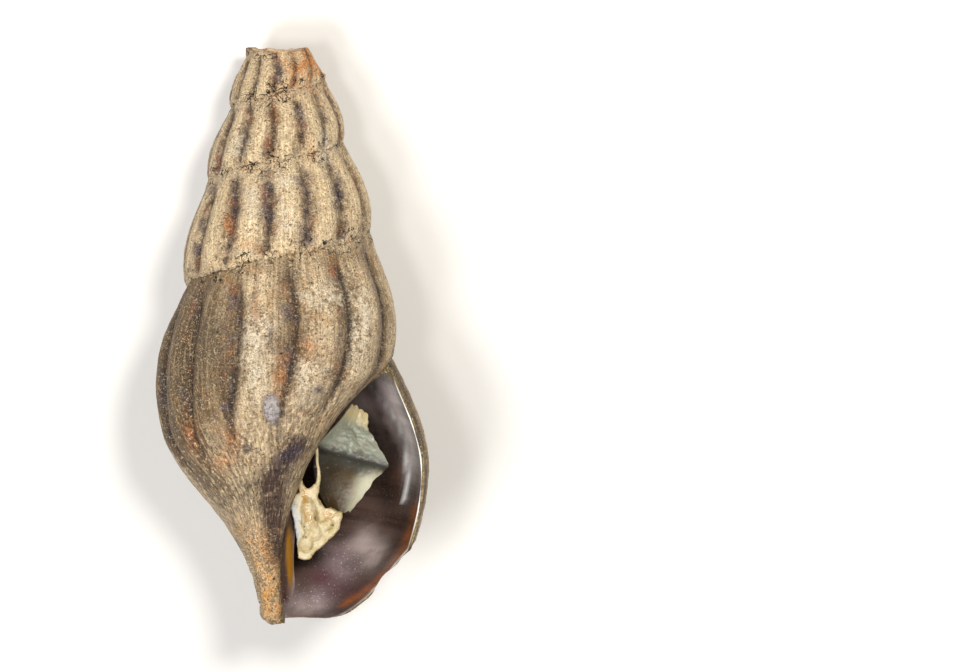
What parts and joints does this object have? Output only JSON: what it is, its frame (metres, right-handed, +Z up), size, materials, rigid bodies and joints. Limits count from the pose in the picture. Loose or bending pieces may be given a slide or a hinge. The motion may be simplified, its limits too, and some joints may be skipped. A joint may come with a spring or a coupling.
{
  "type": "assassin snail shell",
  "caption": "Tall ribbed spiral snail shell with a worn-off tip, lying on its back with the aperture up, and scraps of the dried animal inside it",
  "frame": {"origin": "middle of the footprint, on the surface that the shell rests on", "axes": "+Z up, out of the aperture; +Y along the shell towards its worn tip; +X towards the outer lip"},
  "size_m": [0.0118, 0.0247, 0.0103],
  "materials": {
    "shell": "brown and cream chalky crust outside, smooth grey-purple glaze inside",
    "dried_membrane": "grey-green, half glossy, a little see-through",
    "dried_flesh": "cream, crumbly, with glossy amber spots"
  },
  "bodies": {
    "root": {"shell": "shell", "dried_membrane": "dried_membrane", "dried_flesh": "dried_flesh"}
  },
  "joints": []
}
